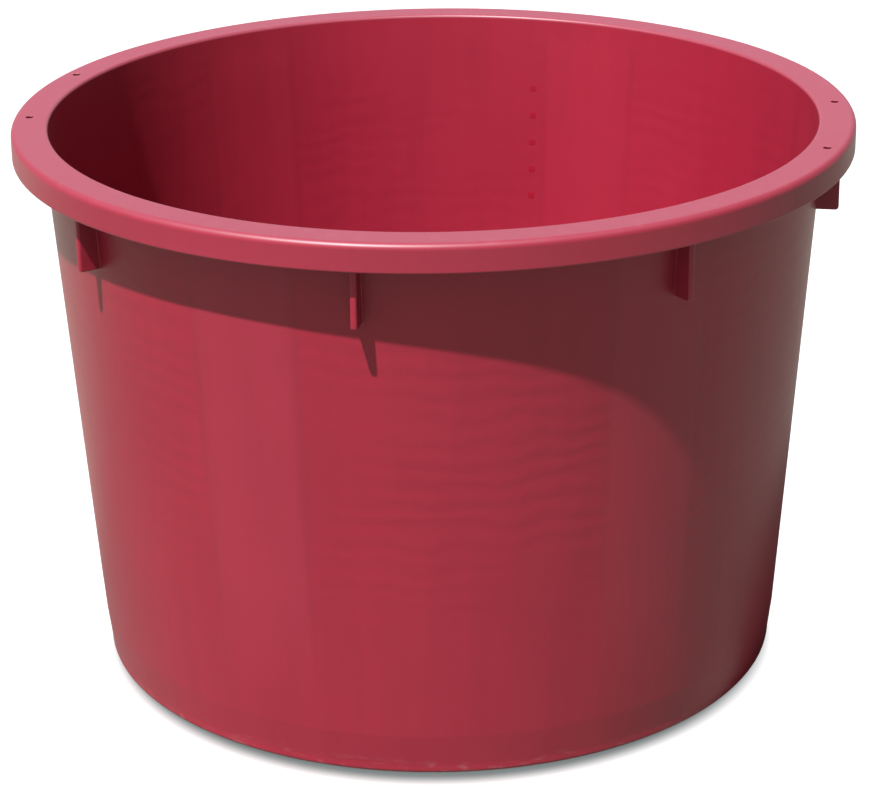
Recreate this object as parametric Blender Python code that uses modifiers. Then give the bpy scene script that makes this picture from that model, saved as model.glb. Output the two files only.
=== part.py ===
"""Round mortar mixing tub: one plastic moulding, drawn as its moulded features.

The tub stands on z = 0 with its axis on Z.  Angles are counter-clockwise from +X, and the ribs
stand on the X and Y axes and on the diagonals between them.  Lengths are in metres.
"""
import math

import bmesh
import bpy

# Overall size
HEIGHT = 0.400
RIM_RADIUS = 0.300

# Wall and floor
WALL_RADIUS_AT_FLOOR = 0.2509
WALL_RADIUS_AT_RIM = 0.2787
WALL_THICKNESS = 0.0047
FLOOR_THICKNESS = 0.005
TUCK_HEIGHT = 0.030
FOOT_BAND_HEIGHT = 0.007
FOOT_BAND_RADIUS = 0.2502
FOOT_RADIUS = 0.2499
HEEL_ROUNDING = 0.003
INNER_CORNER_ROUNDING = 0.008

# Rim
FLANGE_THICKNESS = 0.0045
SKIRT_DEPTH = 0.0198
SKIRT_THICKNESS = 0.004
RIM_EDGE_ROUNDING = 0.0042
LIP_ROUNDING = 0.0035
SKIRT_EDGE_ROUNDING = 0.001

# Stacking ribs, under the rim
RIB_COUNT = 8
RIB_THICKNESS = 0.0045
RIB_OUTER_RADIUS = 0.2902
RIB_DEPTH_BELOW_RIM = 0.062
RIB_CORNER_ROUNDING = 0.002
RIB_EDGE_ROUNDING = 0.0012

# Holes through the rim, in a pair on each side
HOLE_RADIUS = 0.0028
HOLE_CIRCLE_RADIUS = 0.2882
HOLE_OFFSET_ANGLE = math.radians(11.5)

# Litre marks, up the inner wall at the back
MARK_COUNT = 5
MARK_ANGLE = math.radians(82.8)
MARK_LOWEST_HEIGHT = 0.2538
MARK_SPACING = 0.0222
MARK_LENGTH = 0.006
MARK_WIDTH = 0.006
MARK_THICKNESS = 0.0006

# Meshing
GAP = 0.0003
TURN_STEPS = 128
HOLE_STEPS = 24
ARC_STEPS = 4
MERGE_DISTANCE = 0.00001

WALL_SLOPE = (WALL_RADIUS_AT_RIM - WALL_RADIUS_AT_FLOOR) / HEIGHT
OPENING_RADIUS = WALL_RADIUS_AT_RIM - WALL_THICKNESS
FLANGE_UNDERSIDE = HEIGHT - FLANGE_THICKNESS
FLOOR_RADIUS = WALL_RADIUS_AT_FLOOR - WALL_THICKNESS - INNER_CORNER_ROUNDING


def clear_scene():
    for thing in list(bpy.data.objects):
        bpy.data.objects.remove(thing)


def new_collection(name):
    collection = bpy.data.collections.new(name)
    bpy.context.scene.collection.children.link(collection)
    return collection


def linear(red, green, blue):
    """An sRGB colour of 0 to 255 as the linear colour that a shader takes."""
    shares = (red / 255, green / 255, blue / 255)
    return [s / 12.92 if s <= 0.04045 else ((s + 0.055) / 1.055) ** 2.4 for s in shares] + [1.0]


def red_plastic(name, colour, roughness):
    material = bpy.data.materials.new(name)
    material.use_nodes = True
    shader = material.node_tree.nodes["Principled BSDF"]
    shader.inputs["Base Color"].default_value = linear(*colour)
    shader.inputs["Roughness"].default_value = roughness
    shader.inputs["Metallic"].default_value = 0.0
    return material


def wall_radius(height):
    return WALL_RADIUS_AT_FLOOR + WALL_SLOPE * height


def rounded(corners):
    """The closed outline through corners (x, z, rounding), with an arc at each rounded one."""
    outline = []
    for index, (x, z, rounding) in enumerate(corners):
        if not rounding:
            outline.append((x, z))
            continue
        before = corners[index - 1]
        after = corners[(index + 1) % len(corners)]
        into = math.atan2(z - before[1], x - before[0])
        out = math.atan2(after[1] - z, after[0] - x)
        turn = (out - into + math.pi) % math.tau - math.pi
        reach = rounding * abs(math.tan(turn / 2))
        side = math.copysign(math.pi / 2, turn)
        start_x = x - reach * math.cos(into)
        start_z = z - reach * math.sin(into)
        centre_x = start_x + rounding * math.cos(into + side)
        centre_z = start_z + rounding * math.sin(into + side)
        for step in range(ARC_STEPS + 1):
            angle = into - side + turn * step / ARC_STEPS
            outline.append((centre_x + rounding * math.cos(angle), centre_z + rounding * math.sin(angle)))
    return outline


def add_object(name, data, collection, material=None):
    thing = bpy.data.objects.new(name, data)
    collection.objects.link(thing)
    if material:
        data.materials.append(material)
    return thing


def smooth(mesh):
    mesh.shade_smooth()
    mesh.set_sharp_from_angle(angle=math.radians(35))


def turned(name, corners, material, collection):
    """A ring with the given outline, turned about Z; the outline runs down its outer side."""
    outline = rounded(corners)
    points = [(x, 0.0, z) for x, z in outline]
    edges = [(index, (index + 1) % len(points)) for index in range(len(points))]
    mesh = bpy.data.meshes.new(name)
    mesh.from_pydata(points, edges, [])
    ring = add_object(name, mesh, collection, material)
    screw = ring.modifiers.new("Turn", "SCREW")
    screw.axis = "Z"
    screw.angle = math.tau
    screw.steps = TURN_STEPS
    screw.render_steps = TURN_STEPS
    screw.use_merge_vertices = True
    screw.merge_threshold = MERGE_DISTANCE
    screw.use_smooth_shade = True
    return ring


def cylinder(name, radius, depth, steps, collection, material=None):
    mesh = bpy.data.meshes.new(name)
    shape = bmesh.new()
    bmesh.ops.create_cone(shape, cap_ends=True, segments=steps, radius1=radius, radius2=radius, depth=depth)
    shape.to_mesh(mesh)
    shape.free()
    smooth(mesh)
    return add_object(name, mesh, collection, material)


def make_floor(parts):
    material = red_plastic("floor_plastic", (158, 40, 54), 0.42)
    floor = cylinder("tub_floor", FLOOR_RADIUS, FLOOR_THICKNESS, TURN_STEPS, parts, material)
    floor.location.z = FLOOR_THICKNESS / 2


def make_wall(parts):
    """The wall, which tucks in over a narrow foot band just above the heel."""
    top = FLANGE_UNDERSIDE - GAP
    foot = FLOOR_RADIUS + GAP
    corners = [
        (wall_radius(top), top, 0),
        (wall_radius(TUCK_HEIGHT), TUCK_HEIGHT, 0),
        (FOOT_BAND_RADIUS, FOOT_BAND_HEIGHT, 0),
        (FOOT_RADIUS, 0, HEEL_ROUNDING),
        (foot, 0, 0),
        (foot, FLOOR_THICKNESS, 0),
        (wall_radius(FLOOR_THICKNESS) - WALL_THICKNESS, FLOOR_THICKNESS, INNER_CORNER_ROUNDING),
        (wall_radius(top) - WALL_THICKNESS, top, 0),
    ]
    turned("side_wall", corners, red_plastic("wall_plastic", (184, 62, 74), 0.38), parts)


def make_flange(parts, cutters):
    corners = [
        (RIM_RADIUS, HEIGHT, RIM_EDGE_ROUNDING),
        (RIM_RADIUS, FLANGE_UNDERSIDE, 0),
        (OPENING_RADIUS, FLANGE_UNDERSIDE, 0),
        (OPENING_RADIUS, HEIGHT, LIP_ROUNDING),
    ]
    flange = turned("rim_flange", corners, red_plastic("flange_plastic", (206, 84, 104), 0.35), parts)
    angles = [side + offset for side in (0, math.pi) for offset in (-HOLE_OFFSET_ANGLE, HOLE_OFFSET_ANGLE)]
    for number, angle in enumerate(angles, start=1):
        name = f"hole_cutter_{number}"
        cutter = cylinder(name, HOLE_RADIUS, 4 * FLANGE_THICKNESS, HOLE_STEPS, cutters)
        cutter.location = (HOLE_CIRCLE_RADIUS * math.cos(angle), HOLE_CIRCLE_RADIUS * math.sin(angle), HEIGHT)
        cutter.hide_render = True
        cutter.display_type = "WIRE"
        cut = flange.modifiers.new(name, "BOOLEAN")
        cut.operation = "DIFFERENCE"
        cut.object = cutter


def make_skirt(parts):
    top = FLANGE_UNDERSIDE - GAP
    bottom = HEIGHT - SKIRT_DEPTH
    inside = RIM_RADIUS - SKIRT_THICKNESS
    corners = [
        (RIM_RADIUS, top, 0),
        (RIM_RADIUS, bottom, SKIRT_EDGE_ROUNDING),
        (inside, bottom, SKIRT_EDGE_ROUNDING),
        (inside, top, 0),
    ]
    turned("rim_skirt", corners, red_plastic("skirt_plastic", (168, 66, 78), 0.38), parts)


def rib_mesh(outline, material):
    """An upright plate in the XZ plane, with rounded edges along its outer side and its underside."""
    mesh = bpy.data.meshes.new("stacking_rib")
    shape = bmesh.new()
    points = [shape.verts.new((x, -RIB_THICKNESS / 2, z)) for x, z in outline]
    side = shape.faces.new(points)
    extruded = bmesh.ops.extrude_face_region(shape, geom=[side])["geom"]
    far_side = [item for item in extruded if isinstance(item, bmesh.types.BMVert)]
    bmesh.ops.translate(shape, vec=(0, RIB_THICKNESS, 0), verts=far_side)
    bmesh.ops.recalc_face_normals(shape, faces=shape.faces)
    highest = max(z for x, z in outline)
    free_edges = []
    for edge in shape.edges:
        start, end = (vert.co for vert in edge.verts)
        across = abs(start.y - end.y) > RIB_THICKNESS / 2
        along_flange = min(start.z, end.z) > highest - GAP
        along_wall = max(start.x, end.x) < wall_radius(highest) + 2 * GAP and abs(start.z - end.z) > GAP
        if not (across or along_flange or along_wall):
            free_edges.append(edge)
    bmesh.ops.bevel(shape, geom=free_edges, offset=RIB_EDGE_ROUNDING, segments=ARC_STEPS, profile=0.5,
                    affect="EDGES")
    shape.to_mesh(mesh)
    shape.free()
    mesh.materials.append(material)
    smooth(mesh)
    return mesh


def make_ribs(parts):
    """Upright plates in planes through the axis, from the wall to just inside the skirt."""
    top = FLANGE_UNDERSIDE - GAP
    bottom = HEIGHT - RIB_DEPTH_BELOW_RIM
    corners = [
        (RIB_OUTER_RADIUS, top, 0),
        (RIB_OUTER_RADIUS, bottom, RIB_CORNER_ROUNDING),
        (wall_radius(bottom) + GAP, bottom, 0),
        (wall_radius(top) + GAP, top, 0),
    ]
    mesh = rib_mesh(rounded(corners), red_plastic("rib_plastic", (176, 58, 70), 0.4))
    for number in range(1, RIB_COUNT + 1):
        rib = add_object(f"stacking_rib_{number}", mesh, parts)
        rib.rotation_euler.z = (number - 1) * math.tau / RIB_COUNT


def make_marks(parts):
    """Short raised dashes, one above the other, lying against the sloping inner wall."""
    material = red_plastic("mark_plastic", (190, 58, 72), 0.4)
    facet_share = math.cos(math.pi / TURN_STEPS)
    for number in range(1, MARK_COUNT + 1):
        name = f"litre_mark_{number}"
        height = MARK_LOWEST_HEIGHT + (number - 1) * MARK_SPACING
        wall_face = (wall_radius(height) - WALL_THICKNESS) * facet_share
        distance = wall_face - GAP - MARK_THICKNESS / 2
        mesh = bpy.data.meshes.new(name)
        shape = bmesh.new()
        bmesh.ops.create_cube(shape, size=1)
        bmesh.ops.scale(shape, vec=(MARK_THICKNESS, MARK_LENGTH, MARK_WIDTH), verts=shape.verts)
        shape.to_mesh(mesh)
        shape.free()
        mark = add_object(name, mesh, parts, material)
        mark.location = (distance * math.cos(MARK_ANGLE), distance * math.sin(MARK_ANGLE), height)
        mark.rotation_euler = (0, math.atan(WALL_SLOPE), MARK_ANGLE)


def main():
    clear_scene()
    parts = new_collection("mortar_mixing_tub")
    cutters = new_collection("cutters")
    make_floor(parts)
    make_wall(parts)
    make_flange(parts, cutters)
    make_skirt(parts)
    make_ribs(parts)
    make_marks(parts)


main()
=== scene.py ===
"""Looks of a round mortar mixing tub: one red plastic moulding on a plain pale floor.

Lengths are in metres.  Angles about the tub's axis are counter-clockwise from +X.
"""
import math
from types import SimpleNamespace

import bmesh
import bpy
from mathutils import Matrix, Vector


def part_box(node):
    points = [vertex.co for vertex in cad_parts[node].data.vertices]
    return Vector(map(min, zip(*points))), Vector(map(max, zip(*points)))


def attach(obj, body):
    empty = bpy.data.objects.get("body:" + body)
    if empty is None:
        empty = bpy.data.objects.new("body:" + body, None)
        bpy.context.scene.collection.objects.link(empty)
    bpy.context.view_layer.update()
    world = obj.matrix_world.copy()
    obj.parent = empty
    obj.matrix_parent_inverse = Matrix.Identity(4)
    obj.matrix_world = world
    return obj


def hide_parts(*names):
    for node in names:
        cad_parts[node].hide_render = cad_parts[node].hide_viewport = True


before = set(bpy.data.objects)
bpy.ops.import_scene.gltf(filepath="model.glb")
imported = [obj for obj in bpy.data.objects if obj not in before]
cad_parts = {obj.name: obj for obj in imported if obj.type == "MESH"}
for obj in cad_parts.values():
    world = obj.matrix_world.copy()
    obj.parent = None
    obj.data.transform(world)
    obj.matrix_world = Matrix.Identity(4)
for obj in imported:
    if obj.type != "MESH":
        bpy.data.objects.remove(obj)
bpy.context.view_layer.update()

# Sizes that the frame gives
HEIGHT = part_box("rim_flange")[1].z
RIM_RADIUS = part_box("rim_flange")[1].x
FLOOR_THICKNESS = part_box("tub_floor")[1].z
SKIRT_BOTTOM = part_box("rim_skirt")[0].z
FLANGE_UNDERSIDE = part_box("rim_flange")[0].z
RIB_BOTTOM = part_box("stacking_rib_1")[0].z
RIB_OUTER_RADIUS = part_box("stacking_rib_1")[1].x
RIB_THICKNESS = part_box("stacking_rib_1")[1].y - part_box("stacking_rib_1")[0].y

# Wall, floor and rim
WALL_RADIUS_AT_FLOOR = 0.2509
WALL_RADIUS_AT_RIM = 0.2787
WALL_THICKNESS = 0.0047
WALL_SLOPE = (WALL_RADIUS_AT_RIM - WALL_RADIUS_AT_FLOOR) / HEIGHT
OPENING_RADIUS = WALL_RADIUS_AT_RIM - WALL_THICKNESS
SKIRT_THICKNESS = 0.004
TUCK_HEIGHT = 0.030
FOOT_BAND_HEIGHT = 0.007
FOOT_BAND_RADIUS = 0.2502
FOOT_RADIUS = 0.2499
FOOT_ROUNDING = 0.03
HEEL_ROUNDING = 0.003
INNER_CORNER_ROUNDING = 0.008
RIM_EDGE_ROUNDING = 0.0042
LIP_ROUNDING = 0.0024
SKIRT_EDGE_ROUNDING = 0.0013
UNDER_RIM_FILLET = 0.0015
GATE_RADIUS = 0.014
GATE_DEPTH = 0.0008
GATE_DRAFT = 0.0006
GATE_ROUNDING = 0.0005

# Six upright strips of the wall stand a little proud, where the mould feeds the plastic up.
# Their widths are in degrees about the axis.
STRIP_COUNT = 6
STRIP_ANGLE = 12.9
STRIP_HALF_WIDTH = 8.0
STRIP_EDGE = 0.5
STRIP_HEIGHT = 0.0002
STRIP_RISE = (TUCK_HEIGHT + 0.002, 0.06)
STRIP_FADE = (0.375, 0.392)

# Ribs
RIB_COUNT = 8
RIB_CORNER_ROUNDING = 0.002
RIB_NOSE_ROUNDING = 0.0015
RIB_WALL_FILLET = 0.0006
RIB_EDGE_ROUNDING = 0.0006
RIB_FOOT_LEVELS = (0, 0.0001, 0.0003, 0.0006, 0.001, 0.0015, 0.002)
RIB_TOP_LEVELS = (0.001, 0.0006, 0.0003, 0.0001, 0)
RIB_SIDE_STEPS = 8
RIB_SIDE_END = 0.0015
RIB_FILLET_STEPS = 4
RIB_NOSE_STEPS = 6
RIB_OVERLAP = 0.001
RIB_SIDE_SHARES = (0.1, 0.5, 0.9)

# Holes through the flange, two pairs
HOLE_RADIUS = 0.0028
HOLE_CIRCLE_RADIUS = 0.2882
HOLE_OFFSET_ANGLE = 11.5
HOLE_CHAMFER = 0.00015
HOLE_STEPS = 32
HOLE_MARGIN = 0.001

# Litre marks
MARK_COUNT = 5
MARK_WIDTH = 0.006
MARK_RAISED = 0.00012
MARK_SUNK = 0.00005
MARK_BACK = 0.0006
MARK_STEPS = 12

TURN_STEPS = 360
ARC_STEPS = 8
SHARP_ANGLE = math.radians(40)
SAME_PLACE = 1e-6


def wall_radius(height):
    return WALL_RADIUS_AT_FLOOR + WALL_SLOPE * height


def smoothstep(low, high, value):
    share = min(max((value - low) / (high - low), 0.0), 1.0)
    return share * share * (3 - 2 * share)


# ---------------------------------------------------------------- shapes


def rounded(corners):
    """The open outline through corners (r, z, rounding), with an arc at each rounded one."""
    outline = []
    for index, (r, z, rounding) in enumerate(corners):
        if not rounding:
            outline.append((r, z))
            continue
        before = corners[index - 1]
        after = corners[index + 1]
        into = math.atan2(z - before[1], r - before[0])
        out = math.atan2(after[1] - z, after[0] - r)
        turn = (out - into + math.pi) % math.tau - math.pi
        reach = rounding * abs(math.tan(turn / 2))
        side = math.copysign(math.pi / 2, turn)
        start_r = r - reach * math.cos(into)
        start_z = z - reach * math.sin(into)
        centre = (start_r + rounding * math.cos(into + side), start_z + rounding * math.sin(into + side))
        outline += arc(centre, rounding, into - side, turn, ARC_STEPS)
    return outline


def arc(centre, radius, start, turn, steps):
    """Points on an arc that starts at the angle start and goes on by turn."""
    points = []
    for step in range(steps + 1):
        angle = start + turn * step / steps
        points.append((centre[0] + radius * math.cos(angle), centre[1] + radius * math.sin(angle)))
    return points


def supported(outline, support=0.0004, longest=0.012):
    """The outline with extra points: one close to each end of a straight run, and some along it."""
    points = [outline[0]]
    for start, end in zip(outline, outline[1:]):
        length = math.dist(start, end)
        shares = []
        if length > 4 * support:
            shares = [support / length, 1 - support / length]
            pieces = math.ceil(length / longest)
            shares += [step / pieces for step in range(1, pieces)]
        for share in sorted(shares) + [1.0]:
            points.append((start[0] + (end[0] - start[0]) * share, start[1] + (end[1] - start[1]) * share))
    return points


def strip_share(angle):
    """1 on an upright strip of the wall, 0 between the strips."""
    turn = 360 / STRIP_COUNT
    away = abs((math.degrees(angle) - STRIP_ANGLE + turn / 2) % turn - turn / 2)
    return 1 - smoothstep(STRIP_HALF_WIDTH - STRIP_EDGE, STRIP_HALF_WIDTH + STRIP_EDGE, away)


def wall_relief(r, z, angle):
    """How far the wall's faces stand out from the plain cone."""
    height = STRIP_HEIGHT * smoothstep(*STRIP_RISE, z) * (1 - smoothstep(*STRIP_FADE, z))
    if math.isclose(r, wall_radius(z), abs_tol=SAME_PLACE):
        return height * strip_share(angle)
    if math.isclose(r, wall_radius(z) - WALL_THICKNESS, abs_tol=SAME_PLACE):
        return -height * strip_share(angle)
    return 0.0


def turned(name, outline, relief):
    """A solid whose outline starts and ends on the axis, turned about Z, with its relief added."""
    shape = bmesh.new()
    rings = []
    for r, z in outline:
        if r < SAME_PLACE:
            rings.append([shape.verts.new((0, 0, z))])
            continue
        ring = []
        for step in range(TURN_STEPS):
            angle = math.tau * step / TURN_STEPS
            reach = r + relief(r, z, angle)
            ring.append(shape.verts.new((reach * math.cos(angle), reach * math.sin(angle), z)))
        rings.append(ring)
    for lower, upper in zip(rings, rings[1:]):
        for step in range(TURN_STEPS):
            after = (step + 1) % TURN_STEPS
            corners = [lower[step % len(lower)], lower[after % len(lower)]]
            corners += [upper[after % len(upper)], upper[step % len(upper)]]
            shape.faces.new(list(dict.fromkeys(corners)))
    return new_piece(name, shape)


def new_piece(name, shape):
    bmesh.ops.recalc_face_normals(shape, faces=shape.faces)
    mesh = bpy.data.meshes.new(name)
    shape.to_mesh(mesh)
    shape.free()
    mesh.shade_smooth()
    mesh.set_sharp_from_angle(angle=SHARP_ANGLE)
    piece = bpy.data.objects.new(name, mesh)
    bpy.context.scene.collection.objects.link(piece)
    return piece


def shell():
    """Floor, wall, flange and skirt as the one skin that they are."""
    inside_skirt = RIM_RADIUS - SKIRT_THICKNESS
    corners = [
        (0, GATE_DEPTH, 0),
        (GATE_RADIUS, GATE_DEPTH, GATE_ROUNDING),
        (GATE_RADIUS + GATE_DRAFT, 0, GATE_ROUNDING),
        (FOOT_RADIUS, 0, HEEL_ROUNDING),
        (FOOT_BAND_RADIUS, FOOT_BAND_HEIGHT, FOOT_ROUNDING),
        (wall_radius(TUCK_HEIGHT), TUCK_HEIGHT, FOOT_ROUNDING),
        (wall_radius(FLANGE_UNDERSIDE), FLANGE_UNDERSIDE, UNDER_RIM_FILLET),
        (inside_skirt, FLANGE_UNDERSIDE, UNDER_RIM_FILLET),
        (inside_skirt, SKIRT_BOTTOM, SKIRT_EDGE_ROUNDING),
        (RIM_RADIUS, SKIRT_BOTTOM, SKIRT_EDGE_ROUNDING),
        (RIM_RADIUS, HEIGHT, RIM_EDGE_ROUNDING),
        (OPENING_RADIUS, HEIGHT, LIP_ROUNDING),
        (wall_radius(FLOOR_THICKNESS) - WALL_THICKNESS, FLOOR_THICKNESS, INNER_CORNER_ROUNDING),
        (0, FLOOR_THICKNESS, 0),
    ]
    piece = turned("tub_shell", supported(rounded(corners)), wall_relief)
    cut_holes(piece)
    return piece


def add_hole_cutter(shape, angle):
    """A pin through the flange, flared past each of its faces, to cut a hole with broken edges."""
    centre = Vector((math.cos(angle), math.sin(angle), 0)) * HOLE_CIRCLE_RADIUS
    centre.z = (HEIGHT + FLANGE_UNDERSIDE) / 2
    half = (HEIGHT - FLANGE_UNDERSIDE) / 2
    flared = HOLE_RADIUS + HOLE_CHAMFER + HOLE_MARGIN
    levels = [(flared, half + HOLE_MARGIN), (HOLE_RADIUS, half - HOLE_CHAMFER)]
    levels += [(HOLE_RADIUS, -half + HOLE_CHAMFER), (flared, -half - HOLE_MARGIN)]
    rings = []
    for radius, level in levels:
        ring = []
        for step in range(HOLE_STEPS):
            turn = math.tau * step / HOLE_STEPS
            point = centre + Vector((radius * math.cos(turn), radius * math.sin(turn), level))
            ring.append(shape.verts.new(point))
        rings.append(ring)
    for upper, lower in zip(rings, rings[1:]):
        for step in range(HOLE_STEPS):
            after = (step + 1) % HOLE_STEPS
            shape.faces.new([upper[step], lower[step], lower[after], upper[after]])
    shape.faces.new(rings[0])
    shape.faces.new(list(reversed(rings[-1])))


def cut_holes(piece):
    """The four small holes through the flange, a pair on each side."""
    shape = bmesh.new()
    for side in (0, 180):
        for offset in (-HOLE_OFFSET_ANGLE, HOLE_OFFSET_ANGLE):
            add_hole_cutter(shape, math.radians(side + offset))
    cutter = new_piece("hole_cutter", shape)
    cut = piece.modifiers.new("Holes", "BOOLEAN")
    cut.operation = "DIFFERENCE"
    cut.solver = "EXACT"
    cut.object = cutter
    bpy.context.view_layer.update()
    evaluated = piece.evaluated_get(bpy.context.evaluated_depsgraph_get())
    mesh = bpy.data.meshes.new_from_object(evaluated)
    piece.modifiers.clear()
    piece.data = mesh
    mesh.shade_smooth()
    mesh.set_sharp_from_angle(angle=SHARP_ANGLE)
    bpy.data.objects.remove(cutter)


def rounding_inset(rounding, away):
    """How far a rounded edge has drawn in, at a distance away from the face that it ends on."""
    spare = max(rounding - away, 0)
    return rounding - math.sqrt(rounding**2 - spare**2)


def rib_outline(z):
    """The rib's level section at height z, as points (x, y) round it."""
    up = z - RIB_BOTTOM
    down = max(FLANGE_UNDERSIDE - z, 0)
    flare = rounding_inset(RIB_WALL_FILLET, down)
    half = RIB_THICKNESS / 2 - rounding_inset(RIB_EDGE_ROUNDING, up) + flare
    nose = RIB_OUTER_RADIUS - rounding_inset(RIB_CORNER_ROUNDING, up) + flare
    wall = wall_radius(z)
    fillet_centre = (wall + RIB_WALL_FILLET, half + RIB_WALL_FILLET)
    nose_centre = (nose - RIB_NOSE_ROUNDING, half - RIB_NOSE_ROUNDING)
    side = [(wall - RIB_OVERLAP, half + RIB_WALL_FILLET)]
    side += arc(fillet_centre, RIB_WALL_FILLET, math.pi, math.pi / 2, RIB_FILLET_STEPS)
    for share in RIB_SIDE_SHARES:
        side.append((fillet_centre[0] + (nose_centre[0] - fillet_centre[0]) * share, half))
    side += arc(nose_centre, RIB_NOSE_ROUNDING, math.pi / 2, -math.pi / 2, RIB_NOSE_STEPS)
    return side + [(x, -y) for x, y in reversed(side)]


def rib(number):
    """An upright plate with a rounded nose, run into the wall and the flange with small fillets."""
    foot = RIB_BOTTOM + RIB_FOOT_LEVELS[-1]
    straight = FLANGE_UNDERSIDE - RIB_SIDE_END - foot
    heights = [RIB_BOTTOM + level for level in RIB_FOOT_LEVELS]
    heights += [foot + straight * step / RIB_SIDE_STEPS for step in range(1, RIB_SIDE_STEPS + 1)]
    heights += [FLANGE_UNDERSIDE - level for level in RIB_TOP_LEVELS]
    heights.append(FLANGE_UNDERSIDE + RIB_OVERLAP)
    shape = bmesh.new()
    rings = []
    for z in heights:
        rings.append([shape.verts.new((x, y, z)) for x, y in rib_outline(z)])
    for lower, upper in zip(rings, rings[1:]):
        for index in range(len(lower)):
            after = (index + 1) % len(lower)
            shape.faces.new([lower[index], lower[after], upper[after], upper[index]])
    shape.faces.new(list(reversed(rings[0])))
    shape.faces.new(rings[-1])
    turn = Matrix.Rotation(math.tau * (number - 1) / RIB_COUNT, 3, "Z")
    bmesh.ops.rotate(shape, matrix=turn, verts=shape.verts)
    return new_piece(f"rib_{number}", shape)


def litre_mark(number):
    """A low raised pad on the inner wall, bent to the wall and softly domed, with its back in the wall."""
    low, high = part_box(f"litre_mark_{number}")
    middle = (low + high) / 2
    angle = math.atan2(middle.y, middle.x)
    height = high.z - low.z
    shape = bmesh.new()
    front = {}
    back = {}
    for row in range(MARK_STEPS + 1):
        for column in range(MARK_STEPS + 1):
            u = 2 * column / MARK_STEPS - 1
            v = 2 * row / MARK_STEPS - 1
            z = middle.z + v * height / 2
            sunk = wall_radius(z) - WALL_THICKNESS + MARK_SUNK
            dome = (MARK_RAISED + MARK_SUNK) * math.sqrt((1 - u * u) * (1 - v * v))
            turn = angle + u * MARK_WIDTH / 2 / sunk
            for side, r in ((front, sunk - dome), (back, sunk + MARK_BACK)):
                side[row, column] = shape.verts.new((r * math.cos(turn), r * math.sin(turn), z))
    for row in range(MARK_STEPS):
        for column in range(MARK_STEPS):
            corners = [(row, column), (row, column + 1), (row + 1, column + 1), (row + 1, column)]
            shape.faces.new([front[corner] for corner in corners])
            shape.faces.new([back[corner] for corner in reversed(corners)])
    last = MARK_STEPS
    for step in range(MARK_STEPS):
        borders = [((0, step), (0, step + 1)), ((step, last), (step + 1, last))]
        borders += [((last, step + 1), (last, step)), ((step + 1, 0), (step, 0))]
        for start, end in borders:
            shape.faces.new([front[end], front[start], back[start], back[end]])
    return new_piece(f"mark_{number}", shape)


# ---------------------------------------------------------------- materials

# Colours are linear.  The mark's tint multiplies the red.
RED = (0.24, 0.010, 0.026)
MARK_TINT = (0.98, 0.35, 0.60)
# Painted sheen: the paler red that stands for the sky's sheen on the flange's top and the skirt
PAINTED_SHEEN = (0.205, 0.030, 0.050)
# Painted highlight along the inner lip
LIP_PAINTED_HIGHLIGHT = (0.42, 0.11, 0.14)
PALE_STRIP = (0.24, 0.05, 0.08)
# Painted shade on the walls of the small holes
HOLE_PAINTED_SHADE = (0.11, 0.004, 0.010)
COLOUR_SWING = 0.1
CLOUD_SHARE = 0.6
STREAK_SHARE = 0.4

# Blurs of the strips and of the lines at their edges, in degrees about the axis
STRIP_BLUR = 1.6
LINE_WIDTH = 1.2

# Blur of the painted shade in the small holes, in metres
HOLE_SHADE_BLUR = 0.0005

# How much the upright streaks' and the scuffs' noises are squeezed along each axis
STREAK_SCALES = (60, 60, 2.5)
SCUFF_SCALES = (90, 90, 260)

# Heights over which an effect comes or goes
PATTERN_RISE = (0.03, 0.15)
PATTERN_FADE = (0.375, 0.39)
FLOW_LINE_RISE = (0.06, 0.2)
HEEL_HEIGHTS = (0.002, 0.014)
SKIRT_HEIGHTS = (SKIRT_BOTTOM - 0.001, SKIRT_BOTTOM + 0.001)
HOLE_HEIGHTS = (FLANGE_UNDERSIDE, FLANGE_UNDERSIDE + 0.0005)
FLANGE_TOP_HEIGHTS = (HEIGHT - RIM_EDGE_ROUNDING, HEIGHT - 0.001)
RIM_WEAR_HEIGHTS = (HEIGHT - 0.0025, HEIGHT - 0.0002)
LIP_HEIGHTS = (HEIGHT - 0.003, HEIGHT - 0.0015)

# Distances from the axis over which an effect comes or goes
OUTER_FACE = (WALL_RADIUS_AT_FLOOR - 0.004, WALL_RADIUS_AT_FLOOR - 0.001)
INNER_WALL = (0.268, 0.273)
HEEL_RADII = (FOOT_RADIUS - WALL_THICKNESS, FOOT_RADIUS - HEEL_ROUNDING)
LIP_RADII = (OPENING_RADIUS + 0.0005, OPENING_RADIUS + 0.0025)
RIM_EDGE_RADII = (RIM_RADIUS - 0.0045, RIM_RADIUS - 0.003)
SKIRT_RADII = (RIM_RADIUS - 0.003, RIM_RADIUS - 0.001)

# Other ranges: how far up a face looks, a side of the tub, and parts of a noise's swing
FACING_UP = (0.05, 0.35)
CALM_SIDE = (-0.21, -0.13)
TONE_SWING = (0.2, 0.8)
# The part of the clouds' swing over which the painted sheen varies
PAINTED_SHEEN_SWING = (0.2, 0.6)
SCUFF_SWING = (0.5, 0.75)
PATCH_SWING = (0.32, 0.56)

# How much of each effect shows
STRIP_LIGHTER = 0.10
LINE_DARKER = 0.15
STRIP_PALER_INSIDE = 0.015
STRIP_PALER_OUTSIDE = 0.100
# Shares of the painted sheen on the skirt and the rim edge, and of the painted highlight on the lip
SKIRT_PAINTED_SHEEN = 0.3
RIM_EDGE_PAINTED_SHEEN = 0.8
LEAST_PAINTED_SHEEN = 0.75
LIP_HIGHLIGHT_SHARE = 0.08
HEEL_WEAR = 0.5
RIM_WEAR = 0.12
WEAR_FADING = 0.75
WEAR_WHITENING = 0.12

# Gloss
IOR = 1.46
ROUGHNESS = 0.34
CLOUD_ROUGHNESS = 0.10
SPECK_ROUGHNESS = 0.05
WEAR_ROUGHNESS = 0.2

# Relief, in metres, and the share of the flow lines' height that the inner wall has
FLOW_LINE_HEIGHT = 0.000115
DENT_HEIGHT = 0.0006
SKIN_HEIGHT = 0.000012
FLOW_LINES_INSIDE = 0.5


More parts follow.
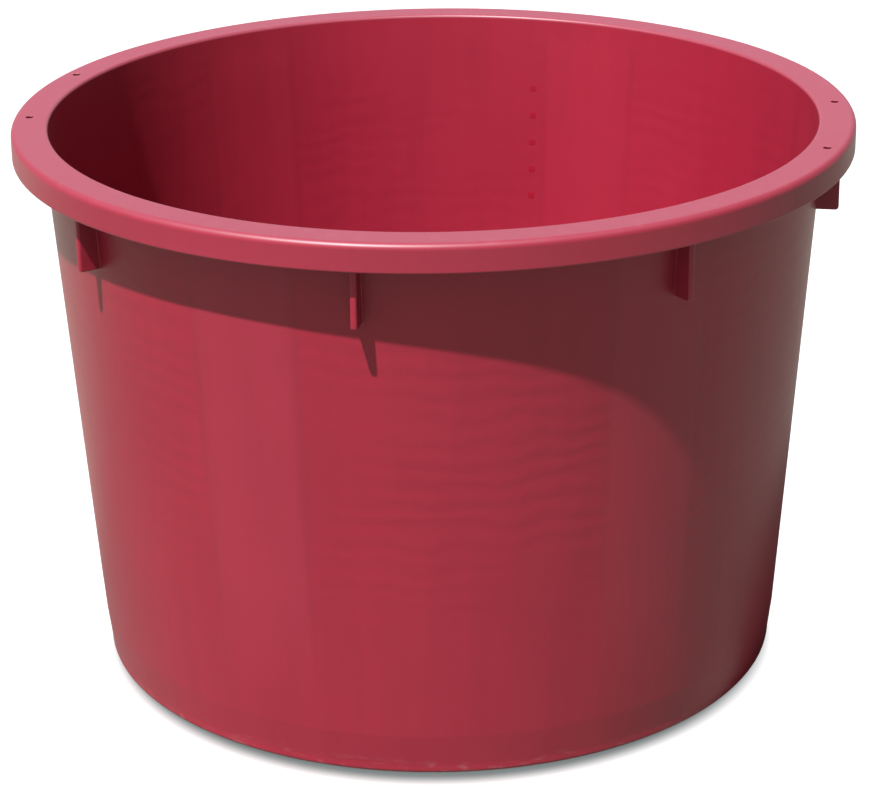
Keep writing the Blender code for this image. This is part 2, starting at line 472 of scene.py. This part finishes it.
class Nodes:
    """Short calls for making shader nodes.  A value is a number, a vector or another node's socket."""

    def __init__(self, tree):
        self.tree = tree
        tree.nodes.clear()

    def add(self, kind, settings=None, **inputs):
        """A node with its settings and its inputs, whose names have _ for each space."""
        made = self.tree.nodes.new(kind)
        for name, value in (settings or {}).items():
            setattr(made, name, value)
        for name, value in inputs.items():
            self.set(made.inputs[name.replace("_", " ")], value)
        return made

    def set(self, socket, value):
        if isinstance(value, bpy.types.NodeSocket):
            self.tree.links.new(value, socket)
        else:
            socket.default_value = value

    def math(self, operation, *values):
        made = self.add("ShaderNodeMath", {"operation": operation})
        for socket, value in zip(made.inputs, values):
            self.set(socket, value)
        return made.outputs[0]

    def vector_math(self, operation, *vectors):
        made = self.add("ShaderNodeVectorMath", {"operation": operation})
        for socket, vector in zip(made.inputs, vectors):
            self.set(socket, vector)
        return made.outputs["Value" if operation in ("DISTANCE", "DOT_PRODUCT") else "Vector"]

    def times(self, first, *others):
        for other in others:
            first = self.math("MULTIPLY", first, other)
        return first

    def plus(self, first, *others):
        for other in others:
            first = self.math("ADD", first, other)
        return first

    def minus(self, first, second):
        return self.math("SUBTRACT", first, second)

    def gap(self, first, second):
        return self.math("ABSOLUTE", self.minus(first, second))

    def ramp(self, value, low, high, at_low=0.0, at_high=1.0):
        """A smooth change from at_low to at_high as the value goes from low to high."""
        made = self.add("ShaderNodeMapRange", {"interpolation_type": "SMOOTHSTEP"})
        for socket, item in zip(made.inputs, (value, low, high, at_low, at_high)):
            self.set(socket, item)
        return made.outputs[0]

    def fall(self, value, low, high):
        return self.ramp(value, low, high, 1.0, 0.0)

    def between(self, share, at_none, at_all):
        return self.math("MULTIPLY_ADD", share, at_all - at_none, at_none)

    def noise(self, vector, **inputs):
        return self.add("ShaderNodeTexNoise", Vector=vector, **inputs).outputs["Fac"]

    def stretched(self, vector, scales):
        return self.add("ShaderNodeMapping", Vector=vector, Scale=scales).outputs[0]

    def mix(self, share, first, second):
        made = self.add("ShaderNodeMix", {"data_type": "RGBA"}, Factor=share)
        for socket, value in zip(colour_sockets(made.inputs), (first, second)):
            self.set(socket, value)
        return colour_sockets(made.outputs)[0]


def colour_sockets(sockets):
    return [socket for socket in sockets if socket.type == "RGBA"]


def opaque(colour, factor=1.0):
    return tuple(channel * factor for channel in colour) + (1.0,)


def locate(make):
    """Sockets that tell where on the tub a point is."""
    coordinates = make.add("ShaderNodeTexCoord")
    place = coordinates.outputs["Object"]
    x, y, z = make.add("ShaderNodeSeparateXYZ", Vector=place).outputs
    upward = make.add("ShaderNodeSeparateXYZ", Vector=coordinates.outputs["Normal"]).outputs["Z"]
    radius = make.math("SQRT", make.plus(make.times(x, x), make.times(y, y)))
    plain_radius = make.minus(radius, make.times(z, WALL_SLOPE))

    # Degrees from the middle of the nearest upright strip
    degrees = make.times(make.math("ARCTAN2", y, x), 180 / math.pi)
    turn = 360 / STRIP_COUNT
    away = make.math("ABSOLUTE", make.math("WRAP", make.minus(degrees, STRIP_ANGLE), turn / 2, -turn / 2))
    strip = make.fall(away, STRIP_HALF_WIDTH - STRIP_BLUR, STRIP_HALF_WIDTH + STRIP_BLUR)
    line = make.fall(make.gap(away, STRIP_HALF_WIDTH), 0.0, LINE_WIDTH)
    on_wall = make.times(make.ramp(z, *PATTERN_RISE), make.fall(z, *PATTERN_FADE))
    return SimpleNamespace(
        place=place,
        x=x,
        z=z,
        upward=upward,
        radius=radius,
        outer=make.ramp(plain_radius, *OUTER_FACE),
        on_wall=on_wall,
        strip=make.times(strip, on_wall),
        line=make.times(line, on_wall),
    )


def wear(make, at):
    """Scuffs on the heel, where the tub is dragged, and faintly on the rim."""
    scuffs = make.noise(make.stretched(at.place, SCUFF_SCALES), Scale=1.0, Detail=4.0, Roughness=0.65)
    heel = make.times(make.fall(at.z, *HEEL_HEIGHTS), make.ramp(at.radius, *HEEL_RADII))
    rim = make.ramp(at.z, *RIM_WEAR_HEIGHTS)
    worn = make.plus(make.times(heel, HEEL_WEAR), make.times(rim, RIM_WEAR))
    return make.times(worn, make.ramp(scuffs, *SCUFF_SWING))


def painted_sheen_share(make, at, clouds):
    """Where painted sheen pales the red: all over the flange's up-facing top, and thin on the skirt."""
    top = make.times(make.ramp(at.z, *FLANGE_TOP_HEIGHTS), make.ramp(at.upward, *FACING_UP))
    top = make.times(top, make.ramp(at.radius, *RIM_EDGE_RADII, 1.0, RIM_EDGE_PAINTED_SHEEN))
    skirt = make.ramp(at.z, *SKIRT_HEIGHTS, 0.0, SKIRT_PAINTED_SHEEN)
    skirt = make.times(skirt, make.ramp(at.radius, *SKIRT_RADII))
    uneven = make.ramp(clouds, *PAINTED_SHEEN_SWING, LEAST_PAINTED_SHEEN, 1.0)
    return make.times(make.math("MAXIMUM", top, skirt), uneven)


def hole_shade_share(make, at):
    """1 on the walls of the small holes, where their shade is painted, 0 on the faces round them."""
    near = make.fall(make.gap(at.radius, HOLE_CIRCLE_RADIUS), HOLE_RADIUS, HOLE_RADIUS + HOLE_SHADE_BLUR)
    return make.times(near, make.ramp(at.z, *HOLE_HEIGHTS), make.fall(at.upward, *FACING_UP))


def plastic_colour(make, at, colour, clouds, worn):
    """Broad clouds and upright streaks, paler strips with darker edges, then painted sheen, painted shade in
    the holes, a painted highlight on the lip, and wear.
    """
    streaks = make.noise(make.stretched(at.place, STREAK_SCALES), Scale=1.0, Detail=3.0, Roughness=0.6)
    tone = make.plus(make.times(clouds, CLOUD_SHARE), make.times(streaks, STREAK_SHARE))
    tone = make.plus(tone, make.times(at.strip, STRIP_LIGHTER))
    tone = make.minus(tone, make.times(at.line, LINE_DARKER))
    dark = opaque(colour, 1 - COLOUR_SWING)
    light = opaque(colour, 1 + COLOUR_SWING)
    base = make.mix(make.ramp(tone, *TONE_SWING), dark, light)
    paler = make.between(at.outer, STRIP_PALER_INSIDE, STRIP_PALER_OUTSIDE)
    base = make.mix(make.times(at.strip, paler), base, opaque(PALE_STRIP))
    # Painted sheen on the flange's top and the skirt
    base = make.mix(painted_sheen_share(make, at, clouds), base, opaque(PAINTED_SHEEN))
    # Painted shade in the small holes
    base = make.mix(hole_shade_share(make, at), base, opaque(HOLE_PAINTED_SHADE))
    # Painted highlight along the inner lip
    lip = make.ramp(at.radius, *LIP_RADII, LIP_HIGHLIGHT_SHARE, 0.0)
    lip = make.times(lip, make.ramp(at.z, *LIP_HEIGHTS))
    base = make.mix(lip, base, opaque(LIP_PAINTED_HIGHLIGHT))
    faded = tuple(channel * WEAR_FADING + WEAR_WHITENING for channel in colour)
    return make.mix(worn, base, opaque(faded))


def plastic_relief(make, at):
    """Wavy flow lines between the strips, soft dents and a fine moulded skin."""
    waves = make.add(
        "ShaderNodeTexWave",
        {"wave_type": "BANDS", "bands_direction": "Z"},
        Vector=at.place,
        Scale=20.0,
        Distortion=5.0,
        Detail=2.0,
        Detail_Scale=1.4,
    )
    patches = make.ramp(make.noise(at.place, Scale=9.0, Detail=2.0, Roughness=0.5), *PATCH_SWING)
    off_strip = make.minus(1.0, at.strip)
    calm = make.times(make.fall(at.x, *CALM_SIDE), make.fall(at.radius, *INNER_WALL))
    share = make.times(off_strip, at.on_wall, patches, make.ramp(at.z, *FLOW_LINE_RISE))
    share = make.times(share, make.minus(1.0, calm))
    share = make.times(share, make.between(at.outer, FLOW_LINES_INSIDE, 1.0))
    dents = make.noise(at.place, Scale=14.0, Detail=2.0, Roughness=0.4)
    skin = make.noise(at.place, Scale=700.0, Detail=2.0, Roughness=0.5)
    height = make.times(waves.outputs["Fac"], share, FLOW_LINE_HEIGHT)
    height = make.plus(height, make.times(dents, DENT_HEIGHT), make.times(skin, SKIN_HEIGHT))
    return make.add("ShaderNodeBump", Height=height, Distance=1.0, Strength=1.0).outputs[0]


def plastic(name, colour):
    """Red polyethylene as moulded: satin, with strips, flow lines and slight wear."""
    material = bpy.data.materials.new(name)
    material.use_nodes = True
    make = Nodes(material.node_tree)
    at = locate(make)
    clouds = make.noise(at.place, Scale=5.0, Detail=4.0, Roughness=0.55)
    specks = make.noise(at.place, Scale=900.0, Detail=2.0, Roughness=0.6)
    worn = wear(make, at)
    rough = make.plus(ROUGHNESS, make.times(clouds, CLOUD_ROUGHNESS), make.times(specks, SPECK_ROUGHNESS))
    shader = make.add(
        "ShaderNodeBsdfPrincipled",
        Base_Color=plastic_colour(make, at, colour, clouds, worn),
        Roughness=make.plus(rough, make.times(worn, WEAR_ROUGHNESS)),
        Normal=plastic_relief(make, at),
        IOR=IOR,
    )
    make.add("ShaderNodeOutputMaterial", Surface=shader.outputs[0])
    return material


# ---------------------------------------------------------------- the tub

tub_plastic = plastic("red_polyethylene", RED)
mark_plastic = plastic("red_polyethylene_marks", tuple(red * tint for red, tint in zip(RED, MARK_TINT)))


def finish_piece(piece, material, *nodes):
    piece.data.materials.clear()
    piece.data.materials.append(material)
    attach(piece, "root")
    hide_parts(*nodes)
    return piece


tub = [finish_piece(shell(), tub_plastic, "tub_floor", "side_wall", "rim_flange", "rim_skirt")]
for count in range(1, RIB_COUNT + 1):
    tub.append(finish_piece(rib(count), tub_plastic, f"stacking_rib_{count}"))
for count in range(1, MARK_COUNT + 1):
    tub.append(finish_piece(litre_mark(count), mark_plastic, f"litre_mark_{count}"))

# ---------------------------------------------------------------- stage

# The camera: azimuths turn from -Y toward +X
VIEW_AZIMUTH = math.radians(10.3)
CAMERA_DISTANCE = 1.936
CAMERA_HEIGHT = 0.9561
CAMERA_YAW = -0.00059
CAMERA_PITCH = math.radians(21.952)
CAMERA_ROLL = math.radians(-0.777)
LENS = 115.73

# The key light
KEY_AZIMUTH = math.radians(-26.5)
KEY_ELEVATION = math.radians(61.9)
KEY_STRENGTH = 9.2
KEY_ANGLE = math.radians(1.2)
FLOOR_LIGHT = 4.7

# The room.  A glow's spread is the cosines from its middle where it begins and where it is full.
SKY = 0.15
SKY_COLOUR = (0.96, 0.99, 1.0)
HORIZON = 0.45
HORIZON_COLOUR = (1.0, 0.98, 0.93)
HORIZON_TOP = 0.35
GLOW_BEHIND = 0.8
GLOW_BEHIND_COLOUR = (1.0, 0.92, 1.06)
GLOW_BEHIND_ELEVATION = math.radians(18)
GLOW_BEHIND_SPREAD = (0.80, 0.96)
KEY_GLOW = 0.7
KEY_GLOW_COLOUR = (1.0, 0.98, 0.97)
KEY_GLOW_ELEVATION = math.radians(40)
KEY_GLOW_SPREAD = (0.55, 0.95)

# The floor that is seen, and the grey ground under it that only the tub mirrors
FLOOR_RADIUS = 30
FLOOR_STEPS = 96
FLOOR_TONE = (0.8, 0.8, 0.8)
FLOOR_LEVEL = -0.0002
CONTACT_TONE = (0.13, 0.15, 0.15)
CONTACT_OFFSET = 0.0165
CONTACT_WITHIN = 0.0155
CONTACT_BEYOND = 0.0065
GROUND_TONE = (0.18, 0.18, 0.16)
GROUND_LEVEL = -0.0004
PALE_GROUND_TONE = (0.31, 0.31, 0.27)
PALE_GROUND_TURN = math.radians(12)
PALE_GROUND_SPREAD = (0.35, 0.75)


def from_azimuth(azimuth, elevation):
    """The direction at an azimuth, which turns from -Y toward +X, and an elevation."""
    level = math.cos(elevation)
    return Vector((math.sin(azimuth) * level, -math.cos(azimuth) * level, math.sin(elevation)))


def make_camera():
    forward = Vector((
        math.sin(CAMERA_YAW) * math.cos(CAMERA_PITCH),
        math.cos(CAMERA_YAW) * math.cos(CAMERA_PITCH),
        -math.sin(CAMERA_PITCH),
    ))
    level = Vector((math.cos(CAMERA_YAW), -math.sin(CAMERA_YAW), 0))
    upward = level.cross(forward)
    right = level * math.cos(CAMERA_ROLL) + upward * math.sin(CAMERA_ROLL)
    up = right.cross(forward)
    turn = Matrix.Rotation(VIEW_AZIMUTH, 3, "Z")
    axes = turn @ Matrix((right, up, -forward)).transposed()
    data = bpy.data.cameras.new("camera")
    data.lens = LENS
    camera = bpy.data.objects.new("camera", data)
    bpy.context.scene.collection.objects.link(camera)
    place = turn @ Vector((0, -CAMERA_DISTANCE, CAMERA_HEIGHT))
    camera.matrix_world = Matrix.Translation(place) @ axes.to_4x4()
    bpy.context.scene.camera = camera


def floor_colour(make):
    """White, with a narrow soft shadow round the foot that falls a little toward the viewer."""
    place = make.add("ShaderNodeTexCoord").outputs["Object"]
    away = make.vector_math("DISTANCE", place, from_azimuth(VIEW_AZIMUTH, 0) * CONTACT_OFFSET)
    clear = make.ramp(away, FOOT_RADIUS - CONTACT_WITHIN, FOOT_RADIUS + CONTACT_BEYOND)
    return make.mix(clear, opaque(CONTACT_TONE), opaque(FLOOR_TONE))


def ground_colour(make):
    """Grey, and paler beyond the tub, where only the tub's grazing sides mirror it."""
    direction = make.vector_math("NORMALIZE", make.add("ShaderNodeTexCoord").outputs["Object"])
    beyond = from_azimuth(VIEW_AZIMUTH + math.pi + PALE_GROUND_TURN, 0)
    share = make.ramp(make.vector_math("DOT_PRODUCT", direction, beyond), *PALE_GROUND_SPREAD)
    return make.mix(share, opaque(GROUND_TONE), opaque(PALE_GROUND_TONE))


def make_floor(name, height, colour):
    """A wide matt disc, whose colour is the socket that the given function makes."""
    shape = bmesh.new()
    bmesh.ops.create_circle(shape, cap_ends=True, segments=FLOOR_STEPS, radius=FLOOR_RADIUS)
    mesh = bpy.data.meshes.new(name)
    shape.to_mesh(mesh)
    shape.free()
    material = bpy.data.materials.new(name)
    material.use_nodes = True
    make = Nodes(material.node_tree)
    matt = {"Roughness": 0.9, "Specular_IOR_Level": 0.0}
    shader = make.add("ShaderNodeBsdfPrincipled", Base_Color=colour(make), **matt)
    make.add("ShaderNodeOutputMaterial", Surface=shader.outputs[0])
    mesh.materials.append(material)
    floor = bpy.data.objects.new(name, mesh)
    bpy.context.scene.collection.objects.link(floor)
    floor.location.z = height
    return floor


def collect(name, things):
    group = bpy.data.collections.new(name)
    for thing in things:
        group.objects.link(thing)
    return group


def make_sun(name, strength, receivers, blockers):
    """A sun at the key's place that lights the receivers, and that only the blockers shade."""
    data = bpy.data.lights.new(name, "SUN")
    data.energy = strength
    data.angle = KEY_ANGLE
    sun = bpy.data.objects.new(name, data)
    bpy.context.scene.collection.objects.link(sun)
    toward = from_azimuth(KEY_AZIMUTH, KEY_ELEVATION)
    sun.rotation_euler = toward.to_track_quat("Z", "Y").to_euler()
    sun.light_linking.receiver_collection = collect(f"{name}_receivers", receivers)
    sun.light_linking.blocker_collection = collect(f"{name}_blockers", blockers)


def make_world():
    """A dim soft room: a pale horizon, a bright wall behind the tub and a glow on the key light's side."""
    world = bpy.data.worlds.new("studio")
    world.use_nodes = True
    make = Nodes(world.node_tree)
    direction = make.add("ShaderNodeTexCoord").outputs["Generated"]
    rise = make.add("ShaderNodeSeparateXYZ", Vector=direction).outputs["Z"]
    low = make.fall(rise, 0.0, HORIZON_TOP)
    colour = make.mix(low, opaque(SKY_COLOUR, SKY), opaque(HORIZON_COLOUR, HORIZON))
    behind = from_azimuth(VIEW_AZIMUTH + math.pi, GLOW_BEHIND_ELEVATION)
    key_side = from_azimuth(KEY_AZIMUTH, KEY_GLOW_ELEVATION)
    glows = [
        (behind, GLOW_BEHIND_SPREAD, opaque(GLOW_BEHIND_COLOUR, GLOW_BEHIND)),
        (key_side, KEY_GLOW_SPREAD, opaque(KEY_GLOW_COLOUR, KEY_GLOW)),
    ]
    for toward, spread, glow in glows:
        facing = make.vector_math("DOT_PRODUCT", direction, toward)
        colour = make.mix(make.ramp(facing, *spread), colour, glow)
    lit = make.add("ShaderNodeBackground", Color=colour)
    seen = make.add("ShaderNodeBackground", Color=(1, 1, 1, 1))
    path = make.add("ShaderNodeLightPath")
    mixed = make.add("ShaderNodeMixShader")
    for socket, value in zip(mixed.inputs, (path.outputs["Is Camera Ray"], lit.outputs[0], seen.outputs[0])):
        make.set(socket, value)
    make.add("ShaderNodeOutputWorld", Surface=mixed.outputs[0])
    bpy.context.scene.world = world


make_camera()
floor = make_floor("studio_floor", FLOOR_LEVEL, floor_colour)
floor.visible_diffuse = False
floor.visible_glossy = False
floor.visible_shadow = False
ground = make_floor("ground_for_reflections", GROUND_LEVEL, ground_colour)
ground.visible_camera = False
ground.visible_shadow = False
make_sun("key_on_tub", KEY_STRENGTH, tub + [ground], tub)
make_sun("key_on_floor", FLOOR_LIGHT, [floor], [floor])
make_world()
bpy.context.scene.view_settings.view_transform = "Standard"
